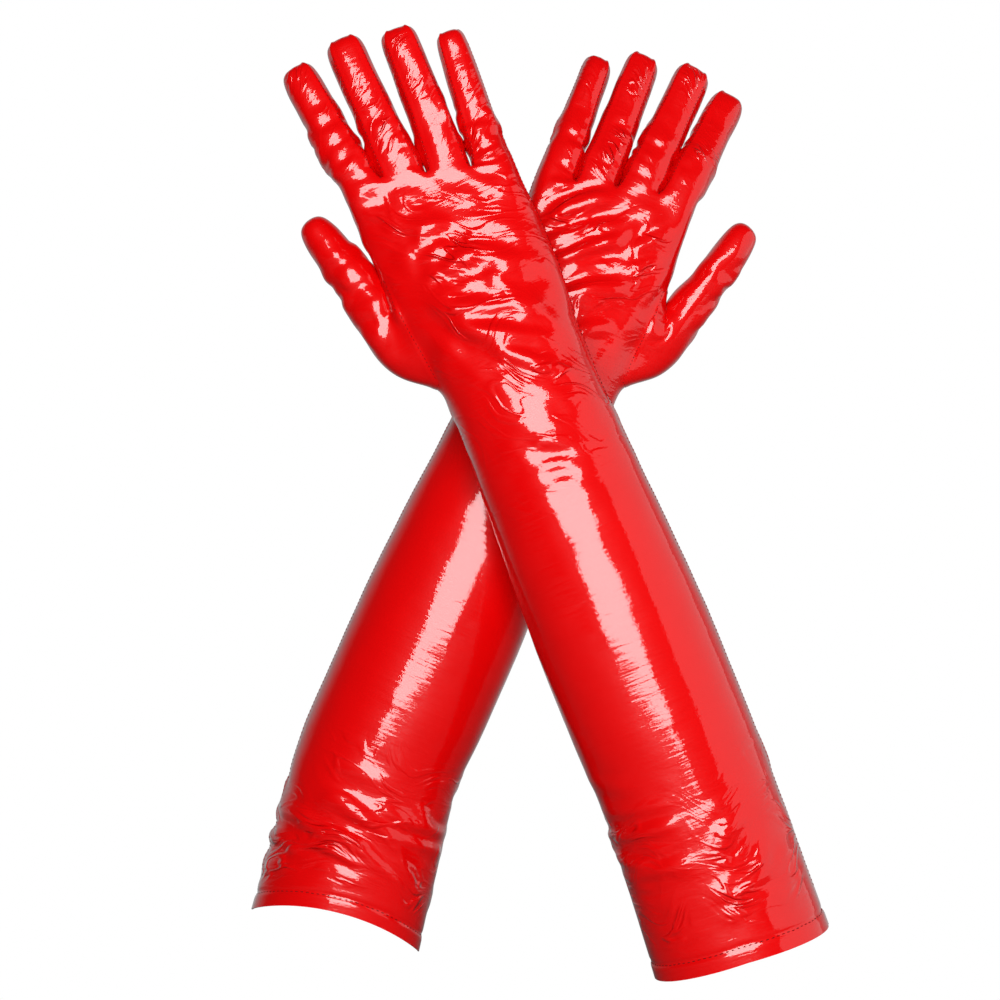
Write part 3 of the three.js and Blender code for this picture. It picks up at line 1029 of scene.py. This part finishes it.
def part(side, mesh, name, normals):
    """One piece of a skin, with its wall, named after its body."""
    keep = PIECES.index(name)
    bm = bmesh.new()
    bm.from_mesh(mesh)
    whole = bm.verts.layers.int.new("whole")
    for vert in bm.verts:
        vert[whole] = vert.index
    piece_of = bm.faces.layers.int["piece"]
    bmesh.ops.delete(bm, geom=[f for f in bm.faces if f[piece_of] != keep], context="FACES")
    own = mesh_from(bm, f"{side}_{name}_vinyl")
    outer = np.empty(len(own.vertices), np.int32)
    own.attributes["whole"].data.foreach_get("value", outer)
    piece = add_object(own.name, own)
    own.materials.append(vinyl)
    own.materials.append(backing)
    wall = piece.modifiers.new("wall", "SOLIDIFY")
    wall.thickness = WALL
    wall.offset = -1
    wall.use_even_offset = False
    wall.material_offset = 1
    wall.material_offset_rim = 0
    thick = bpy.data.meshes.new_from_object(piece.evaluated_get(bpy.context.evaluated_depsgraph_get()))
    piece.modifiers.clear()
    piece.data = thick
    shade = normals_of(thick)
    count = len(outer)
    shade[:count] = normals[outer]
    thick.shade_smooth()
    thick.normals_split_custom_set_from_vertices(shade)
    for extra in ("whole", "seam", "piece"):
        if extra in thick.attributes:
            thick.attributes.remove(thick.attributes[extra])
    return piece


def move_with(piece, side, name):
    """Attach a cuff piece to the cuff's body; any other piece only has its transform baked into its mesh."""
    if name == "cuff":
        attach(piece, f"{side}_cuff")
        return
    if name == "sleeve":
        parent, start, end = "cuff", (0, 0, CUFF_TOP + 5), (0, 0, 2 * ELBOW_AT - CUFF_TOP)
    elif name == "hand":
        parent, start, end = "sleeve", (0, 0, SLEEVE_TOP + 5), (0, 0, 2 * WRIST_AT - SLEEVE_TOP)
    elif name == "thumb":
        parent, start, end = "hand", (46, 7, 352), (64, 7, 378)
    else:
        place = finger_frame(side, name)
        parent, start, end = "hand", place @ Vector((0, 0, 4)), place @ Vector((0, 0, 26))
    worn_point(side, *start)
    worn_point(side, *end)
    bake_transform(piece)


for side, mesh in skins.items():
    normals = normals_of(mesh)
    for name in PIECES:
        piece = part(side, mesh, name, normals)
        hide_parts(*[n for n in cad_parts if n.startswith(f"{side}_{name}") and "hem" not in n])
        move_with(piece, side, name)

# %% [markdown]
# ## Hem
# The end of the sleeve is turned up inside and stitched down. From below one sees its knitted back, so it is a
# band of its own just inside the cuff.

# %% Hem facing
HEM_INSET = 1.1  # its face lies this far inside the glove's outer face


def hem_facing(side):
    bm = bmesh.new()
    ring = bmesh.ops.create_circle(bm, segments=AROUND, radius=1)["verts"]
    for z in (0.8, 1.2, 4, HEM_HEIGHT - 1, HEM_HEIGHT - 0.6):
        points = section(z)
        for point in points:
            shrink = 1 - 2 * HEM_INSET / width_at(z)
            point.x, point.y = point.x * shrink, point.y * shrink
        if z == 0.8:
            for vert, point in zip(ring, points):
                vert.co = point
        else:
            ring = extrude_loop(bm, ring, points)
    bmesh.ops.recalc_face_normals(bm, faces=bm.faces)
    bmesh.ops.solidify(bm, geom=bm.faces, thickness=-0.5)
    bmesh.ops.recalc_face_normals(bm, faces=bm.faces)
    cage = mesh_from(bm, f"{side}_hem_cage")
    mesh = subdivided(f"{side}_hem", cage, 2)
    put_points(mesh, worn_points(side, points_of(mesh)))
    if WORN[side]["mirror"] < 0:
        mesh.flip_normals()
    mesh.shade_smooth()
    mesh.materials.append(backing)
    band = add_object(f"{side}_hem_band", mesh)
    return band


for side in SIDES:
    band = hem_facing(side)
    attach(band, f"{side}_cuff")
    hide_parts(f"{side}_hem_facing")

# %% [markdown]
# ## Stitches
# Each stitch is a short bead of thread laid on the skin. A row follows the line of a seam: its points are put on
# the nearest part of the skin, and each stitch points to the next one.

# %% Rows of stitches


def row_points(points, pitch):
    """Points this far apart along a smooth line through the given ones, in mm."""
    p = np.array(points, float)
    along = np.concatenate([[0], np.cumsum(np.linalg.norm(np.diff(p, axis=0), axis=1))])
    at = np.arange(0.5, along[-1] / pitch) * pitch
    return np.stack([np.interp(at, along, p[:, k]) for k in range(3)], 1)


def sew_row(bm, side, tree, points, pitch, length, radius, sunk):
    """Add one row of stitches to bm."""
    spots = worn_points(side, row_points(points, pitch))
    placed = []
    for spot in spots:
        place, normal, _, _ = tree.find_nearest(Vector(spot))
        placed.append((place - normal * sunk * MM, normal))
    for (place, normal), (after, _) in zip(placed, placed[1:]):
        forward = (after - place).normalized()
        side_way = normal.cross(forward).normalized()
        turn = Matrix((side_way, normal, forward)).transposed().to_4x4()
        scale = Matrix.Diagonal((radius * MM, radius * 0.8 * MM, length / 2 * MM, 1))
        bmesh.ops.create_icosphere(bm, subdivisions=1, radius=1, matrix=Matrix.Translation(place) @ turn @ scale)


def hem_line():
    """The line of the hem's stitches, once round the cuff."""
    ring = section(HEM_HEIGHT)
    return ring + ring[:1]


for side, mesh in skins.items():
    skin_bm = bmesh.new()
    skin_bm.from_mesh(mesh)
    tree = BVHTree.FromBMesh(skin_bm)
    skin_bm.free()
    threads = {name: bmesh.new() for name in (*PIECES, "hem")}
    sew_row(threads["hem"], side, tree, hem_line(), pitch=2.9, length=2.0, radius=0.32, sunk=0.05)
    for name, points in seam_lines[side]:
        sew_row(threads[name], side, tree, points, pitch=2.1, length=1.3, radius=0.26, sunk=0.08)
    for name, bm in threads.items():
        thread_mesh = mesh_from(bm, f"{side}_{name}_stitches")
        thread_mesh.shade_smooth()
        thread_mesh.materials.append(thread)
        row = add_object(thread_mesh.name, thread_mesh)
        move_with(row, side, "cuff" if name == "hem" else name)
        if name == "hem":
            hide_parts(f"{side}_hem_stitching")
    print(side, "stitched")

# %% [markdown]
# ## Light
# A glossy thing shows its room. A soft box behind the camera and a little above it draws the pale stripe along
# each arm, a dim wide panel on the right gives the broad band beside it, and the pale room behind shows at the edges.

# %% Lights and floor
ROOM_GLOW = 0.42  # how bright the room and the floor behind the gloves look in the vinyl
FLOOR_DROP = 0.12

def soft_box(name, place, aim, width, height, power):
    data = bpy.data.lights.new(name, "AREA")
    data.shape = "RECTANGLE"
    data.size, data.size_y = width, height
    data.energy = power
    light = add_object(name, data)
    light.location = place
    light.rotation_euler = (Vector(aim) - Vector(place)).to_track_quat("-Z", "Y").to_euler()


KEY_AT = VIEW_CENTRE + Vector((0, -1.66, 0.27))
PANEL_AT = VIEW_CENTRE + Vector((1.3, -0.25, 0.05))
soft_box("key", KEY_AT, VIEW_CENTRE, width=0.95, height=1.1, power=35)
soft_box("side_panel", PANEL_AT, VIEW_CENTRE, width=2.0, height=1.8, power=10)

world = bpy.data.worlds.new("studio")
scene.world = world
world.use_nodes = True
nodes, links = world.node_tree.nodes, world.node_tree.links
nodes.clear()
direction = nodes.new("ShaderNodeTexCoord")
parts = nodes.new("ShaderNodeSeparateXYZ")
ramp = nodes.new("ShaderNodeMapRange")
set_inputs(ramp, {"From Min": 0.3, "From Max": 0.7, "To Min": 0.03, "To Max": ROOM_GLOW})
room = nodes.new("ShaderNodeBackground")
backdrop = nodes.new("ShaderNodeBackground")
backdrop.inputs["Strength"].default_value = 1.0
seen = nodes.new("ShaderNodeLightPath")
choose = nodes.new("ShaderNodeMixShader")
output = nodes.new("ShaderNodeOutputWorld")
links.new(direction.outputs["Generated"], parts.inputs["Vector"])
links.new(parts.outputs["Y"], ramp.inputs["Value"])
links.new(ramp.outputs["Result"], room.inputs["Strength"])
links.new(seen.outputs["Is Camera Ray"], choose.inputs["Fac"])
links.new(room.outputs["Background"], choose.inputs[1])
links.new(backdrop.outputs["Background"], choose.inputs[2])
links.new(choose.outputs["Shader"], output.inputs["Surface"])
for background in (room, backdrop):
    background.inputs["Color"].default_value = (1, 1, 1, 1)

floor_bm = bmesh.new()
bmesh.ops.create_grid(floor_bm, x_segments=1, y_segments=1, size=6)
floor_mesh = mesh_from(floor_bm, "floor")
floor_mesh.transform(Matrix.Translation((VIEW_CENTRE.x, 0, cad_box[0].z - FLOOR_DROP)))
floor = add_object("floor", floor_mesh)
white, nodes, links, paint = new_material("floor_paint")
values = {
    "Base Color": (0, 0, 0, 1),
    "Specular IOR Level": 0,
    "Emission Color": (1, 1, 1, 1),
    "Emission Strength": 1.0,
}
set_inputs(paint, values)
# the gloves see it darker than the camera does, as if it were further from the lamps
dull = nodes.new("ShaderNodeBsdfPrincipled")
set_inputs(dull, {"Base Color": (0.12, 0.12, 0.12, 1), "Roughness": 0.9, "Emission Color": (1, 1, 1, 1)})
spot = nodes.new("ShaderNodeTexCoord")
spot_parts = nodes.new("ShaderNodeSeparateXYZ")
behind = nodes.new("ShaderNodeMapRange")
set_inputs(behind, {"From Min": 0.2, "From Max": 1.2, "To Max": ROOM_GLOW})
links.new(spot.outputs["Object"], spot_parts.inputs["Vector"])
links.new(spot_parts.outputs["Y"], behind.inputs["Value"])
links.new(behind.outputs["Result"], dull.inputs["Emission Strength"])
seen = nodes.new("ShaderNodeLightPath")
choose = nodes.new("ShaderNodeMixShader")
links.new(seen.outputs["Is Camera Ray"], choose.inputs["Fac"])
links.new(dull.outputs["BSDF"], choose.inputs[1])
links.new(paint.outputs["BSDF"], choose.inputs[2])
links.new(choose.outputs["Shader"], nodes["Material Output"].inputs["Surface"])
floor_mesh.materials.append(white)
